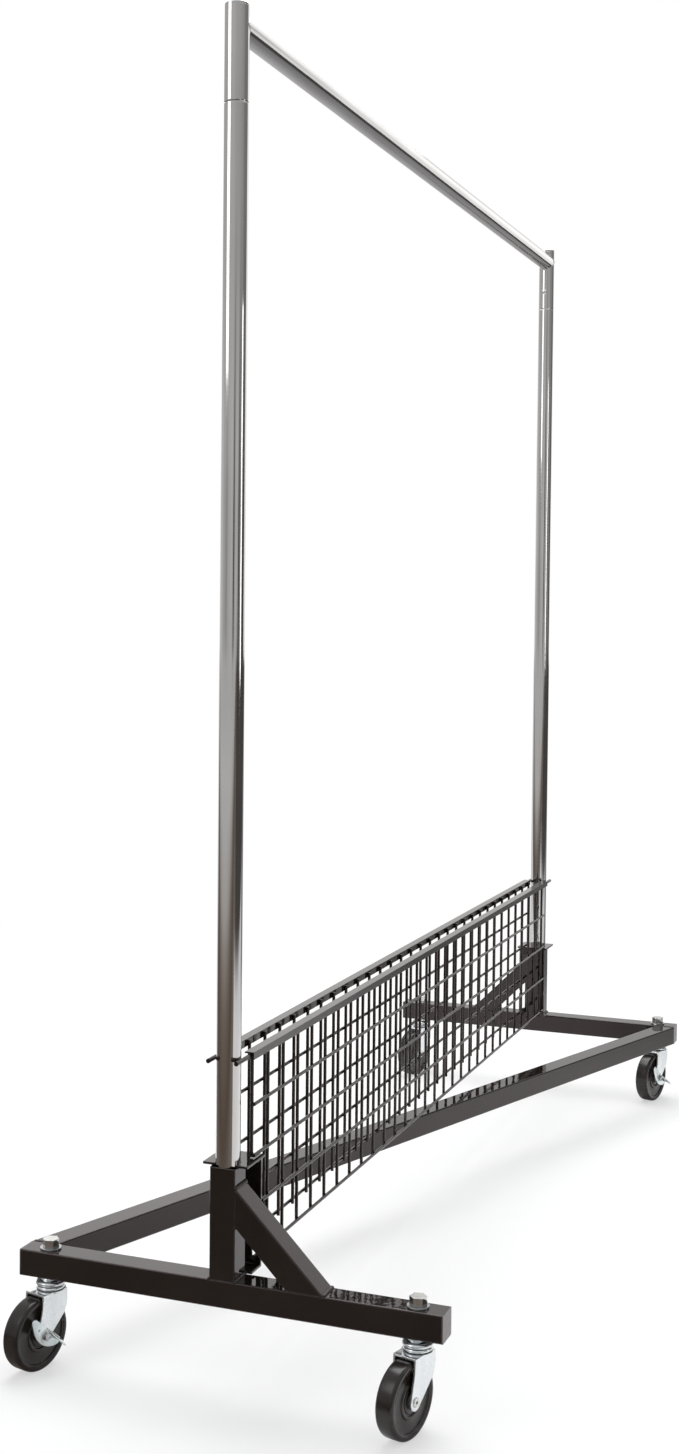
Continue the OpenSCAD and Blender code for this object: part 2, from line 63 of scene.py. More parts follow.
# ---- camera ----
# Stands off the near end at waist height and looks nearly along the rack, with a
# little shift so that the uprights stay plumb.
eye = Vector((-2.7614, -0.9052, 1.0004))
heading = math.radians(20.81)
climb = math.radians(-1.730)
lean = math.radians(0.556)
level_part = math.cos(climb)
ahead = Vector((math.cos(heading) * level_part, math.sin(heading) * level_part, math.sin(climb)))
level = ahead.cross(Vector((0, 0, 1))).normalized()
plumb = level.cross(ahead)
across = math.cos(lean) * level + math.sin(lean) * plumb
upward = math.cos(lean) * plumb - math.sin(lean) * level
camera_data = bpy.data.cameras.new("camera")
camera = bpy.data.objects.new("camera", camera_data)
bpy.context.scene.collection.objects.link(camera)
camera.matrix_world = Matrix((
    (across.x, upward.x, -ahead.x, eye.x),
    (across.y, upward.y, -ahead.y, eye.y),
    (across.z, upward.z, -ahead.z, eye.z),
    (0, 0, 0, 1)))
camera_data.sensor_width = 36
camera_data.lens = 43.19
camera_data.shift_y = -0.0452
camera_data.clip_end = 200
bpy.context.scene.camera = camera

# ---- floor and studio ----
# A white sweep that runs out to a brown floor behind the camera. It keeps the soft
# shadow, and far off it fades into the white backdrop.
bpy.ops.object.select_all(action="DESELECT")
bpy.ops.mesh.primitive_plane_add(size=60)
floor = bpy.context.object
floor.name = "sweep"
sweep = bpy.data.materials.new("white_sweep")
sweep.use_nodes = True
nodes, links = sweep.node_tree.nodes, sweep.node_tree.links
nodes.clear()
sheet_out = nodes.new("ShaderNodeOutputMaterial")
paper = nodes.new("ShaderNodeBsdfDiffuse")
paper.inputs["Color"].default_value = (0.955, 0.95, 0.946, 1)
boards = nodes.new("ShaderNodeEmission")
glow = nodes.new("ShaderNodeEmission")
place = nodes.new("ShaderNodeTexCoord")
apart = nodes.new("ShaderNodeSeparateXYZ")
links.new(place.outputs["Object"], apart.inputs[0])

# How far a spot is from the middle of the rack, in metres, and from where on the
# eye sees it plain white.
distance = nodes.new("ShaderNodeVectorMath")
distance.operation = "LENGTH"
links.new(place.outputs["Object"], distance.inputs[0])
far_off = nodes.new("ShaderNodeMapRange")
far_off.inputs["From Min"].default_value = 1.3
far_off.inputs["From Max"].default_value = 2.8
far_off.inputs["To Min"].default_value = 0.54
links.new(distance.outputs["Value"], far_off.inputs["Value"])
seen = nodes.new("ShaderNodeLightPath")
share = nodes.new("ShaderNodeMath")
share.operation = "MULTIPLY"
links.new(seen.outputs["Is Camera Ray"], share.inputs[0])
links.new(far_off.outputs["Result"], share.inputs[1])

# Where the sheet ends, beyond the near end of the rack and on its right.
slant = nodes.new("ShaderNodeVectorMath")
slant.operation = "DOT_PRODUCT"
slant.inputs[1].default_value = (1, -0.45, 0)
links.new(place.outputs["Object"], slant.inputs[0])
sheet_end = nodes.new("ShaderNodeMapRange")
sheet_end.inputs["From Min"].default_value = -0.80
sheet_end.inputs["From Max"].default_value = -0.92
links.new(slant.outputs["Value"], sheet_end.inputs["Value"])
sheet_side = nodes.new("ShaderNodeMapRange")
sheet_side.inputs["From Min"].default_value = -2.3
sheet_side.inputs["From Max"].default_value = -2.9
links.new(apart.outputs["Y"], sheet_side.inputs["Value"])
off_sheet = nodes.new("ShaderNodeMath")
off_sheet.operation = "MAXIMUM"
links.new(sheet_end.outputs["Result"], off_sheet.inputs[0])
links.new(sheet_side.outputs["Result"], off_sheet.inputs[1])

# What polished pieces mirror of the brown floor, from the sheet outwards.
run = nodes.new("ShaderNodeMapRange")
run.inputs["From Min"].default_value = 0
run.inputs["From Max"].default_value = -10
links.new(slant.outputs["Value"], run.inputs["Value"])
planks = nodes.new("ShaderNodeValToRGB")
planks.color_ramp.elements[0].position = 0.0
planks.color_ramp.elements[0].color = (0.075, 0.070, 0.066, 1)
planks.color_ramp.elements[1].position = 0.62
planks.color_ramp.elements[1].color = (0.58, 0.575, 0.57, 1)
plank_tones = (
    (0.06, (0.16, 0.145, 0.135, 1)),
    (0.11, (0.22, 0.19, 0.17, 1)),
    (0.19, (0.115, 0.088, 0.070, 1)),
    (0.30, (0.20, 0.165, 0.14, 1)),
    (0.44, (0.44, 0.42, 0.40, 1)))
for spot, tone in plank_tones:
    planks.color_ramp.elements.new(spot).color = tone
links.new(run.outputs["Result"], planks.inputs["Fac"])

# What they mirror of the sheet, by its bearing from the middle, in degrees.
bearing = nodes.new("ShaderNodeTexGradient")
bearing.gradient_type = "RADIAL"
links.new(place.outputs["Object"], bearing.inputs[0])
sheet_tone = nodes.new("ShaderNodeValToRGB")
for limit in sheet_tone.color_ramp.elements:
    limit.color = (0.88, 0.88, 0.885, 1)
sheet_tones = (
    (-52, 0.88), (-38, 0.40), (-29, 0.17), (-25, 0.24), (-17, 0.28),
    (-6, 0.33), (8, 0.40), (19, 0.47), (29, 0.56), (50, 0.88))
for degrees, tone in sheet_tones:
    sheet_tone.color_ramp.elements.new(degrees / 360 + 0.5).color = (tone, tone * 0.99, tone * 1.02, 1)
links.new(bearing.outputs["Fac"], sheet_tone.inputs["Fac"])
mirror_floor = nodes.new("ShaderNodeMixRGB")
links.new(off_sheet.outputs[0], mirror_floor.inputs["Fac"])
links.new(sheet_tone.outputs["Color"], mirror_floor.inputs["Color1"])
links.new(planks.outputs["Color"], mirror_floor.inputs["Color2"])
links.new(mirror_floor.outputs["Color"], boards.inputs["Color"])

# Close to the rack they mirror the lit paper itself, with its shadow.
away = nodes.new("ShaderNodeMapRange")
away.inputs["From Min"].default_value = 0.9
away.inputs["From Max"].default_value = 2.0
links.new(distance.outputs["Value"], away.inputs["Value"])
plain = nodes.new("ShaderNodeMath")
plain.operation = "MAXIMUM"
links.new(off_sheet.outputs[0], plain.inputs[0])
links.new(away.outputs["Result"], plain.inputs[1])
mirrored = nodes.new("ShaderNodeMath")
mirrored.operation = "MULTIPLY"
links.new(seen.outputs["Is Glossy Ray"], mirrored.inputs[0])
links.new(plain.outputs[0], mirrored.inputs[1])
ground = nodes.new("ShaderNodeMixShader")
links.new(mirrored.outputs[0], ground.inputs[0])
links.new(paper.outputs[0], ground.inputs[1])
links.new(boards.outputs[0], ground.inputs[2])
lit = nodes.new("ShaderNodeMixShader")
links.new(share.outputs[0], lit.inputs[0])
links.new(ground.outputs[0], lit.inputs[1])
links.new(glow.outputs[0], lit.inputs[2])
links.new(lit.outputs[0], sheet_out.inputs["Surface"])
floor.data.materials.append(sweep)

# The room around the sweep: white behind the rack, grey walls, and the dark side
# where the camera stands. Only polished pieces see it; the eye sees white.
world = bpy.data.worlds.new("studio")
bpy.context.scene.world = world
world.use_nodes = True
nodes, links = world.node_tree.nodes, world.node_tree.links
nodes.clear()
room_out = nodes.new("ShaderNodeOutputWorld")
direction = nodes.new("ShaderNodeTexCoord")
compass = nodes.new("ShaderNodeTexGradient")
compass.gradient_type = "RADIAL"
links.new(direction.outputs["Generated"], compass.inputs[0])


# The tone of the walls all round, by bearing in degrees. The first tone is behind.
def wall_band(tones):
    band = nodes.new("ShaderNodeValToRGB")
    band.color_ramp.interpolation = "EASE"
    ramp = band.color_ramp.elements
    behind = (tones[0][1],) * 3 + (1,)
    ramp[0].color = behind
    ramp[1].color = behind
    ramp[0].position = 0
    ramp[1].position = 1
    for degrees, tone in tones[1:]:
        ramp.new(degrees / 360 + 0.5).color = (tone, tone * 0.993, tone * 0.985, 1)
    links.new(compass.outputs["Fac"], band.inputs["Fac"])
    return band.outputs["Color"]


low_walls = wall_band([
    (-180, 0.56), (-166, 0.62), (-156, 0.50), (-150, 0.06), (-145, 0.10), (-138, 0.50),
    (-124, 0.62), (-110, 0.48), (-104, 0.08), (-98, 0.10), (-88, 0.34), (-72, 0.26),
    (-58, 0.09), (-36, 0.07), (-31, 1.0), (-18, 1.1), (58, 1.1), (72, 0.66),
    (92, 0.68), (112, 0.52), (136, 0.42), (148, 0.34), (158, 0.50)])
high_walls = wall_band([
    (-180, 0.54), (-150, 0.47), (-120, 0.44), (-92, 0.38), (-66, 0.24), (-34, 0.24),
    (-28, 0.5), (-24, 1.1), (-16, 1.45), (-8, 1.3), (4, 0.68), (14, 0.92),
    (26, 1.3), (56, 1.4), (70, 0.52), (100, 0.52), (150, 0.56)])
height = nodes.new("ShaderNodeSeparateXYZ")
links.new(direction.outputs["Generated"], height.inputs[0])
ceiling = nodes.new("ShaderNodeMapRange")
ceiling.interpolation_type = "SMOOTHSTEP"
ceiling.inputs["From Min"].default_value = 0.34
ceiling.inputs["From Max"].default_value = 0.62
links.new(height.outputs["Z"], ceiling.inputs["Value"])
wall_rise = nodes.new("ShaderNodeMapRange")
wall_rise.interpolation_type = "SMOOTHSTEP"
wall_rise.inputs["From Min"].default_value = 0.03
wall_rise.inputs["From Max"].default_value = 0.25
links.new(height.outputs["Z"], wall_rise.inputs["Value"])
walls = nodes.new("ShaderNodeMixRGB")
links.new(wall_rise.outputs["Result"], walls.inputs["Fac"])
links.new(low_walls, walls.inputs["Color1"])
links.new(high_walls, walls.inputs["Color2"])
overhead = nodes.new("ShaderNodeMixRGB")
overhead.inputs["Color2"].default_value = (0.74, 0.75, 0.78, 1)
links.new(ceiling.outputs["Result"], overhead.inputs["Fac"])
links.new(walls.outputs["Color"], overhead.inputs["Color1"])
mirror_room = nodes.new("ShaderNodeBackground")
links.new(overhead.outputs["Color"], mirror_room.inputs["Color"])
soft_room = nodes.new("ShaderNodeBackground")
soft_room.inputs["Color"].default_value = (0.95, 0.97, 1.0, 1)
soft_room.inputs["Strength"].default_value = 0.55
white_room = nodes.new("ShaderNodeBackground")
white_room.inputs["Color"].default_value = (1, 1, 1, 1)
seen = nodes.new("ShaderNodeLightPath")
polished = nodes.new("ShaderNodeMixShader")
links.new(seen.outputs["Is Glossy Ray"], polished.inputs[0])
links.new(soft_room.outputs[0], polished.inputs[1])
links.new(mirror_room.outputs[0], polished.inputs[2])
straight = nodes.new("ShaderNodeMixShader")
links.new(seen.outputs["Is Camera Ray"], straight.inputs[0])
links.new(polished.outputs[0], straight.inputs[1])
links.new(white_room.outputs[0], straight.inputs[2])
links.new(straight.outputs[0], room_out.inputs["Surface"])


def softbox(name, place, aim, width, height, watts):
    lamp = bpy.data.lights.new(name, "AREA")
    lamp.shape = "RECTANGLE"
    lamp.size = width
    lamp.size_y = height
    lamp.energy = watts
    stand = bpy.data.objects.new(name, lamp)
    bpy.context.scene.collection.objects.link(stand)
    stand.location = place
    stand.rotation_euler = (Vector(aim) - Vector(place)).to_track_quat("-Z", "Y").to_euler()


# One large soft box overhead, and a weaker one on each side of the near upright.
softbox("overhead_box", (1.0, 0.6, 3.5), aim=(0, 0, 0), width=3.0, height=3.0, watts=112)
softbox("left_box", (-2.62, 1.67, 2.35), aim=(-0.7, 0, 1.3), width=1.2, height=1.5, watts=11)
softbox("right_strip", (-0.10, -2.40, 1.30), aim=(-0.76, 0, 1.1), width=0.46, height=1.0, watts=3.2)

# ---- end bars and diagonal ----
# Square steel tube, cut and welded into a Z. The seams on the outside are ground
# flush, and the whole frame is sprayed gloss black over a brown primer.

# How near a spot is to an edge, and its softened normal. Finishes lighten their colour
# along edges by it: a painted highlight, and on the paint also where it rubs off.
def edge_wear_and_highlight(nodes, links, radius):
    rounded = nodes.new("ShaderNodeBevel")
    rounded.samples = 4
    rounded.inputs["Radius"].default_value = radius
    flat = nodes.new("ShaderNodeNewGeometry")
    turn = nodes.new("ShaderNodeVectorMath")
    turn.operation = "DOT_PRODUCT"
    links.new(rounded.outputs["Normal"], turn.inputs[0])
    links.new(flat.outputs["Normal"], turn.inputs[1])
    edge = nodes.new("ShaderNodeMapRange")
    edge.inputs["From Min"].default_value = 0.995
    edge.inputs["From Max"].default_value = 0.80
    links.new(turn.outputs["Value"], edge.inputs["Value"])
    return edge.outputs["Result"], rounded.outputs["Normal"]


# Drifting noise, spread between a low and a high level.
def cloudy(nodes, links, place, size, detail, low=0, high=1):
    cloud = nodes.new("ShaderNodeTexNoise")
    cloud.inputs["Scale"].default_value = size
    cloud.inputs["Detail"].default_value = detail
    links.new(place, cloud.inputs["Vector"])
    span = nodes.new("ShaderNodeMapRange")
    span.inputs["From Min"].default_value = 0.3
    span.inputs["From Max"].default_value = 0.72
    span.inputs["To Min"].default_value = low
    span.inputs["To Max"].default_value = high
    links.new(cloud.outputs["Fac"], span.inputs["Value"])
    return span.outputs["Result"]


def two_tone(nodes, links, fac, first, second):
    blend = nodes.new("ShaderNodeValToRGB")
    blend.color_ramp.elements[0].color = (*first, 1)
    blend.color_ramp.elements[1].color = (*second, 1)
    links.new(fac, blend.inputs["Fac"])
    return blend.outputs["Color"]


def new_finish(name):
    finish = bpy.data.materials.new(name)
    finish.use_nodes = True
    nodes, links = finish.node_tree.nodes, finish.node_tree.links
    return finish, nodes, links, nodes["Principled BSDF"], nodes.new("ShaderNodeTexCoord").outputs["Object"]


def relief(nodes, links, shader, height, strength, depth, under):
    bump = nodes.new("ShaderNodeBump")
    bump.inputs["Strength"].default_value = strength
    bump.inputs["Distance"].default_value = depth
    links.new(height, bump.inputs["Height"])
    links.new(under, bump.inputs["Normal"])
    links.new(bump.outputs["Normal"], shader.inputs["Normal"])


deep_black = (0.0100, 0.0074, 0.0060)
brown_black = (0.0165, 0.0125, 0.0100)


def black_paint(name, gloss, peel, rounding, dark=deep_black, pale=brown_black):
    finish, nodes, links, shader, place = new_finish(name)
    shader.inputs["IOR"].default_value = 1.50
    shader.inputs["Specular Tint"].default_value = (1.0, 0.87, 0.87, 1)
    edge, rounded = edge_wear_and_highlight(nodes, links, rounding)
    drift = cloudy(nodes, links, place, size=9, detail=4)
    coat = two_tone(nodes, links, drift, dark, pale)
    patches = cloudy(nodes, links, place, size=260, detail=2, low=0.1, high=0.9)
    # Along the edges, in random patches, the colour goes pale brown: paint rubbed through to the primer,
    # and a painted highlight.
    edge_rub_and_highlight = nodes.new("ShaderNodeMath")
    edge_rub_and_highlight.operation = "MULTIPLY"
    links.new(edge, edge_rub_and_highlight.inputs[0])
    links.new(patches, edge_rub_and_highlight.inputs[1])
    thin_paint_and_highlight = nodes.new("ShaderNodeMixRGB")
    thin_paint_and_highlight.inputs["Color2"].default_value = (0.085, 0.070, 0.062, 1)
    links.new(edge_rub_and_highlight.outputs[0], thin_paint_and_highlight.inputs["Fac"])
    links.new(coat, thin_paint_and_highlight.inputs["Color1"])
    links.new(thin_paint_and_highlight.outputs["Color"], shader.inputs["Base Color"])
    haze = cloudy(nodes, links, place, size=22, detail=5, low=gloss, high=gloss + 0.035)
    links.new(haze, shader.inputs["Roughness"])
    orange_peel = cloudy(nodes, links, place, size=130, detail=2)
    relief(nodes, links, shader, orange_peel, strength=peel, depth=0.0006, under=rounded)
    return finish


def wear(node, finish):
    frame["nodes"][node].data.materials.clear()
    frame["nodes"][node].data.materials.append(finish)


# A row of overlapping drops along each seam, no two quite the same size.
def weld_beads(name, seams, radius, finish, body):
    bpy.ops.object.select_all(action="DESELECT")
    bead = None
    step = radius * 0.75
    squeeze = 0.35
    for first, last in seams:
        start = Vector(first)
        end = Vector(last)
        along = (end - start).normalized()
        drop = [1 - squeeze * abs(part) for part in along]
        count = max(1, round((end - start).length / step))
        for k in range(count + 1):
            size = radius * random.uniform(0.90, 1.06)
            spot = start.lerp(end, k / count)
            bpy.ops.mesh.primitive_ico_sphere_add(subdivisions=2, radius=size, location=spot, scale=drop)
            if bead is None:
                bead = bpy.context.object
                bpy.ops.object.mode_set(mode="EDIT")
    bpy.ops.object.mode_set(mode="OBJECT")
    bpy.ops.object.transform_apply(location=True, rotation=True, scale=True)
    bpy.ops.object.shade_smooth()
    bead.name = name
    bead.data.materials.append(finish)
    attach(bead, body)
    return bead


tube_paint = black_paint("gloss_black_paint", gloss=0.02, peel=0.05, rounding=0.0016)
for node in ("end_bar_near", "end_bar_far", "diagonal_bar"):
    wear(node, tube_paint)
low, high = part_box("diagonal_bar")
corners = [v.co for v in frame["nodes"]["diagonal_bar"].data.vertices]
touch_gap = 0.0006
ground_flush = 0.289
seam_top = high.z - 0.0006
seams = []
for side in (low.x, high.x):
    touching = [c.y for c in corners if abs(c.x - side) < touch_gap]
    for y in (min(touching), max(touching)):
        if abs(y) < ground_flush:
            seams.append(((side, y, low.z + 0.002), (side, y, high.z - 0.001)))
    right = max(min(touching), -ground_flush)
    left = min(max(touching), ground_flush)
    seams.append(((side, right, seam_top), (side, left, seam_top)))
weld_beads("diagonal_welds", seams, radius=0.0021, finish=tube_paint, body="frame")

# ---- end caps ----
# Pressed-in caps of black plastic close the four open ends of the end bars. They
# are scuffed, and paler and duller than the paint around them.
cap_plastic = black_paint("worn_cap_plastic", gloss=0.20, peel=0.30, rounding=0.0008,
                          dark=(0.058, 0.050, 0.046), pale=(0.090, 0.080, 0.075))
wear("bar_plugs", cap_plastic)

# ---- sockets and braces ----
# A short upright of the same tube stands on each end bar, with a tube brace cut at
# 45 degrees on one side. Both are welded all round where the joint isn't flush.
for node in ("post_socket_near", "post_socket_far", "brace_near", "brace_far"):
    wear(node, tube_paint)
seam_inset = 0.0015
for end, side in (("near", -1), ("far", 1)):
    low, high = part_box("post_socket_" + end)
    foot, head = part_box("brace_" + end)
    toe = foot.y if side < 0 else head.y
    wall = low.y if side < 0 else high.y
    depth = (high.y - low.y) * math.sqrt(2)
    left = low.x + seam_inset
    right = high.x - seam_inset
    joins = [(-wall, low.z), (wall, low.z), (toe, foot.z), (toe - side * depth, foot.z),
             (wall, head.z), (wall, head.z - depth)]
    seams = [((left, y, z), (right, y, z)) for y, z in joins]
    weld_beads("socket_welds_" + end, seams, radius=0.0031, finish=tube_paint, body="frame")

# ---- shelf brackets ----
# A folded steel plate caps each socket and hangs down on the inner side, where it
# carries the shelf. It is welded under its flange and painted with the frame.
flange_inset = 0.001
fold_inset = 0.0032
fold_end = 0.003
for end, inner in (("near", 1), ("far", -1)):
    wear("shelf_bracket_" + end, tube_paint)
    low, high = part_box("shelf_bracket_" + end)
    socket_low, socket_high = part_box("post_socket_" + end)
    fold = high.x - fold_inset if inner > 0 else low.x + fold_inset
    left = max(low.x, socket_low.x) + flange_inset
    right = min(high.x, socket_high.x) - flange_inset
    under = socket_high.z
    seams = [((left, socket_low.y, under), (right, socket_low.y, under)),
             ((left, socket_high.y, under), (right, socket_high.y, under)),
             ((fold, low.y + fold_end, under), (fold, high.y - fold_end, under))]
    weld_beads("bracket_welds_" + end, seams, radius=0.0018, finish=tube_paint, body="frame")

# ---- uprights ----
# Thin round steel tube, drawn, polished and chrome plated. It is pushed down into
# the socket and stands on the end bar.

# Rounds the edges that turn more sharply than the angle, in degrees.
def soften(piece, width, sharp):
    soft = piece.modifiers.new("rounding", "BEVEL")
    soft.width = width
    soft.segments = 2
    soft.limit_method = "ANGLE"
    soft.angle_limit = math.radians(sharp)
    bpy.ops.object.modifier_apply(modifier=soft.name)


# Spins a profile, given as radius and distance along the axis, into a closed piece.
def turned(name, profile, centre, axis, start, steps, finish, rounding=0):
    bpy.ops.object.select_all(action="DESELECT")
    centre = Vector(centre)
    axis = Vector(axis).normalized()
    start = Vector(start).normalized()
    spots = [centre + start * r + axis * h for r, h in profile]
    bpy.ops.mesh.primitive_plane_add(size=0.001, location=spots[0])
    piece = bpy.context.object
    bpy.ops.object.mode_set(mode="EDIT")
    bpy.ops.mesh.select_all(action="SELECT")
    bpy.ops.mesh.merge(type="CENTER")
    for here, there in zip(spots, spots[1:]):
        bpy.ops.mesh.extrude_region_move(TRANSFORM_OT_translate={"value": there - here})
    bpy.ops.mesh.select_all(action="SELECT")
    bpy.ops.mesh.spin(steps=steps, angle=2 * math.pi, center=centre, axis=axis)
    bpy.ops.mesh.select_all(action="SELECT")
    bpy.ops.mesh.remove_doubles(threshold=0.00001)
    bpy.ops.mesh.normals_make_consistent(inside=False)
    bpy.ops.object.mode_set(mode="OBJECT")
    bpy.ops.object.transform_apply(location=True, rotation=True, scale=True)
    if rounding:
        soften(piece, width=rounding, sharp=28)
    bpy.ops.object.shade_smooth_by_angle(angle=math.radians(40))
    piece.name = name
    piece.data.materials.append(finish)
    return piece


def chrome_plate(name, axis):
    finish, nodes, links, shader, place = new_finish(name)
    shader.inputs["Metallic"].default_value = 1
    edge, rounded = edge_wear_and_highlight(nodes, links, radius=0.0005)
    drift = cloudy(nodes, links, place, size=6, detail=4)
    plate = two_tone(nodes, links, drift, (0.60, 0.588, 0.575), (0.67, 0.664, 0.66))
    # Brighter along the edges: a painted highlight.
    chrome_edge_highlight = nodes.new("ShaderNodeMixRGB")
    chrome_edge_highlight.inputs["Color2"].default_value = (0.72, 0.72, 0.72, 1)
    links.new(edge, chrome_edge_highlight.inputs["Fac"])
    links.new(plate, chrome_edge_highlight.inputs["Color1"])
    links.new(chrome_edge_highlight.outputs["Color"], shader.inputs["Base Color"])
    haze = cloudy(nodes, links, place, size=14, detail=4, low=0.05, high=0.12)
    links.new(haze, shader.inputs["Roughness"])
    stretch = nodes.new("ShaderNodeMapping")
    stretch.inputs["Scale"].default_value = [0.03 if k == axis else 1.0 for k in range(3)]
    links.new(place, stretch.inputs["Vector"])
    draw_lines = cloudy(nodes, links, stretch.outputs["Vector"], size=420, detail=3)
    relief(nodes, links, shader, draw_lines, strength=0.06, depth=0.0002, under=rounded)
    return finish


tube_wall = 0.0014
tube_sides = 128
upright_chrome = chrome_plate("upright_chrome", axis=2)
for end in ("near", "far"):
    low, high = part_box("post_" + end)
    centre = ((low.x + high.x) / 2, 0, 0)
    r = (high.x - low.x) / 2
    bore = r - tube_wall
    profile = [
        (bore, low.z), (r, low.z), (r, low.z + 0.0008),
        (r, high.z - 0.0013), (r, high.z - 0.0006), (r - 0.0001, high.z - 0.0002), (r - 0.0003, high.z),
        (bore, high.z), (bore, high.z - 0.001), (bore, low.z)]
    upright = turned("upright_tube_" + end, profile, centre, axis=(0, 0, 1), start=(1, 0, 0),
                     steps=tube_sides, finish=upright_chrome)
    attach(upright, "frame")
    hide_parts("post_" + end)

# ---- top stubs and rail ----
# The hanging rail is the same chromed tube, coped to the stubs and brazed to them
# with a fine fillet. The stubs slide over spigots in the uprights.
spigot_steel = chrome_plate("dull_spigot_steel", axis=2)
spigot_steel.node_tree.nodes["Principled BSDF"].inputs["Metallic"].default_value = 0.5
for end in ("near", "far"):
    wear("spigot_" + end, spigot_steel)
    wear("stub_cap_" + end, upright_chrome)
    low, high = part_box("top_stub_" + end)
    centre = ((low.x + high.x) / 2, 0, 0)
    r = (high.y - low.y) / 2
    bore = r - tube_wall
    profile = [
        (bore, low.z), (r - 0.0009, low.z), (r - 0.0004, low.z + 0.0006),
        (r, low.z + 0.0015), (r, low.z + 0.0023), (r, high.z - 0.0008), (r, high.z),
        (bore, high.z), (bore, high.z - 0.001), (bore, low.z + 0.001), (bore, low.z)]
    stub = turned("top_stub_tube_" + end, profile, centre, axis=(0, 0, 1), start=(1, 0, 0),
                  steps=tube_sides, finish=upright_chrome)
    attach(stub, "frame")
    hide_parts("top_stub_" + end)
rail_chrome = chrome_plate("rail_chrome", axis=0)
wear("hang_rail", rail_chrome)
rail_low, rail_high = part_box("hang_rail")
rail_z = (rail_low.z + rail_high.z) / 2
rail_r = (rail_high.z - rail_low.z) / 2
ring_steps = 72
for end, inner in (("near", 1), ("far", -1)):
    low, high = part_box("top_stub_" + end)
    middle = (low.x + high.x) / 2
    stub_r = (high.y - low.y) / 2
    ring = []
    for k in range(ring_steps):
        turn = 2 * math.pi * k / ring_steps
        y = rail_r * math.cos(turn)
        x = middle + inner * math.sqrt(max(0, stub_r ** 2 - y ** 2))
        ring.append((x, y, rail_z + rail_r * math.sin(turn)))
    seams = [(ring[k], ring[(k + 1) % ring_steps]) for k in range(ring_steps)]
    fillet = weld_beads("rail_fillet_" + end, seams, radius=0.0013, finish=rail_chrome, body="frame")


# ---- snap buttons ----
# A sprung steel button with a domed head locks each stub. It is turned from bar,
# plated bright with zinc, and stands out through the wall of the tube.
def bright_zinc(name, gloss, rounding, metal, dark, pale, dents):
    finish, nodes, links, shader, place = new_finish(name)
    shader.inputs["Metallic"].default_value = metal
    edge, rounded = edge_wear_and_highlight(nodes, links, rounding)
    drawn = nodes.new("ShaderNodeMapping")
    drawn.inputs["Scale"].default_value = (1, 1, 0.10)
    links.new(place, drawn.inputs["Vector"])
    streaks = cloudy(nodes, links, drawn.outputs["Vector"], size=90, detail=3)
    plate = two_tone(nodes, links, streaks, dark, pale)
    # Lighter along the edges: a painted highlight.
    zinc_edge_highlight = nodes.new("ShaderNodeMixRGB")
    zinc_edge_highlight.inputs["Color2"].default_value = (0.90, 0.91, 0.91, 1)
    links.new(edge, zinc_edge_highlight.inputs["Fac"])
    links.new(plate, zinc_edge_highlight.inputs["Color1"])
    # Near black wherever a wall is close by: painted shade in crevices and between parts.
    shade_occlusion = nodes.new("ShaderNodeAmbientOcclusion")
    shade_occlusion.samples = 8
    shade_occlusion.inputs["Distance"].default_value = 0.006
    painted_shade_mask = nodes.new("ShaderNodeMapRange")
    painted_shade_mask.inputs["From Min"].default_value = 0.62
    painted_shade_mask.inputs["From Max"].default_value = 0.28
    links.new(shade_occlusion.outputs["AO"], painted_shade_mask.inputs["Value"])
    crevice_shade_colour = nodes.new("ShaderNodeMixRGB")
    crevice_shade_colour.inputs["Color2"].default_value = (0.030, 0.026, 0.024, 1)
    links.new(painted_shade_mask.outputs["Result"], crevice_shade_colour.inputs["Fac"])
    links.new(zinc_edge_highlight.outputs["Color"], crevice_shade_colour.inputs["Color1"])
    links.new(crevice_shade_colour.outputs["Color"], shader.inputs["Base Color"])
    haze = cloudy(nodes, links, place, size=55, detail=4, low=gloss[0], high=gloss[1])
    links.new(haze, shader.inputs["Roughness"])
    ripple = cloudy(nodes, links, place, size=110, detail=3)
    relief(nodes, links, shader, ripple, strength=dents, depth=0.0006, under=rounded)
    return finish


cup_zinc = bright_zinc("polished_zinc_plate", gloss=(0.04, 0.09), rounding=0.0004, metal=1.0,
                       dark=(0.62, 0.65, 0.66), pale=(0.74, 0.76, 0.77), dents=0.02)
crown_rise = 0.0034
head_foot = 0.001
head_slack = 0.00002
for end, inner in (("near", 1), ("far", -1)):
    low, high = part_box("snap_button_" + end)
    centre = ((low.x + high.x) / 2, 0, (low.z + high.z) / 2)
    reach = (high.x - low.x) / 2
    r = (high.z - low.z) / 2 - head_slack
    dome = []
    for degrees in range(0, 90, 10):
        turn = math.radians(degrees)
        dome.append((r * math.cos(turn), reach - crown_rise + crown_rise * math.sin(turn)))
    profile = [(0.0, -reach + head_foot), (r, -reach + head_foot)] + dome + [(0.0, reach)]
    button = turned("snap_button_head_" + end, profile, centre, axis=(inner, 0, 0), start=(0, 0, 1),
                    steps=40, finish=cup_zinc)
    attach(button, "button_" + end)
    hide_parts("snap_button_" + end)

# ---- caster bolts and seats ----
# One bolt clamps each caster through the end bar. Its upper bearing cup is rolled
# from sheet, with a short neck up to the tube. All of it is zinc plated, apart from
# the greased steel balls, which are coloured near black as painted shade between the
# races. The washers are rougher, and coloured darker as painted shade.
for node in ("caster_seats", "caster_nuts"):
    wear(node, cup_zinc)
# The balls are greased, and coloured near black as painted shade in the gap between the races.
near_black_ball_steel = bright_zinc("greased_shade_ball_steel", gloss=(0.25, 0.40), rounding=0.0003, metal=0.5,
                         dark=(0.015, 0.013, 0.012), pale=(0.05, 0.045, 0.04), dents=0.05)
wear("swivel_balls", near_black_ball_steel)
bolt_zinc = bright_zinc("bolt_zinc_plate", gloss=(0.08, 0.17), rounding=0.0006, metal=1.0,
                        dark=(0.56, 0.555, 0.53), pale=(0.70, 0.70, 0.68), dents=0.12)
wear("caster_bolts", bolt_zinc)
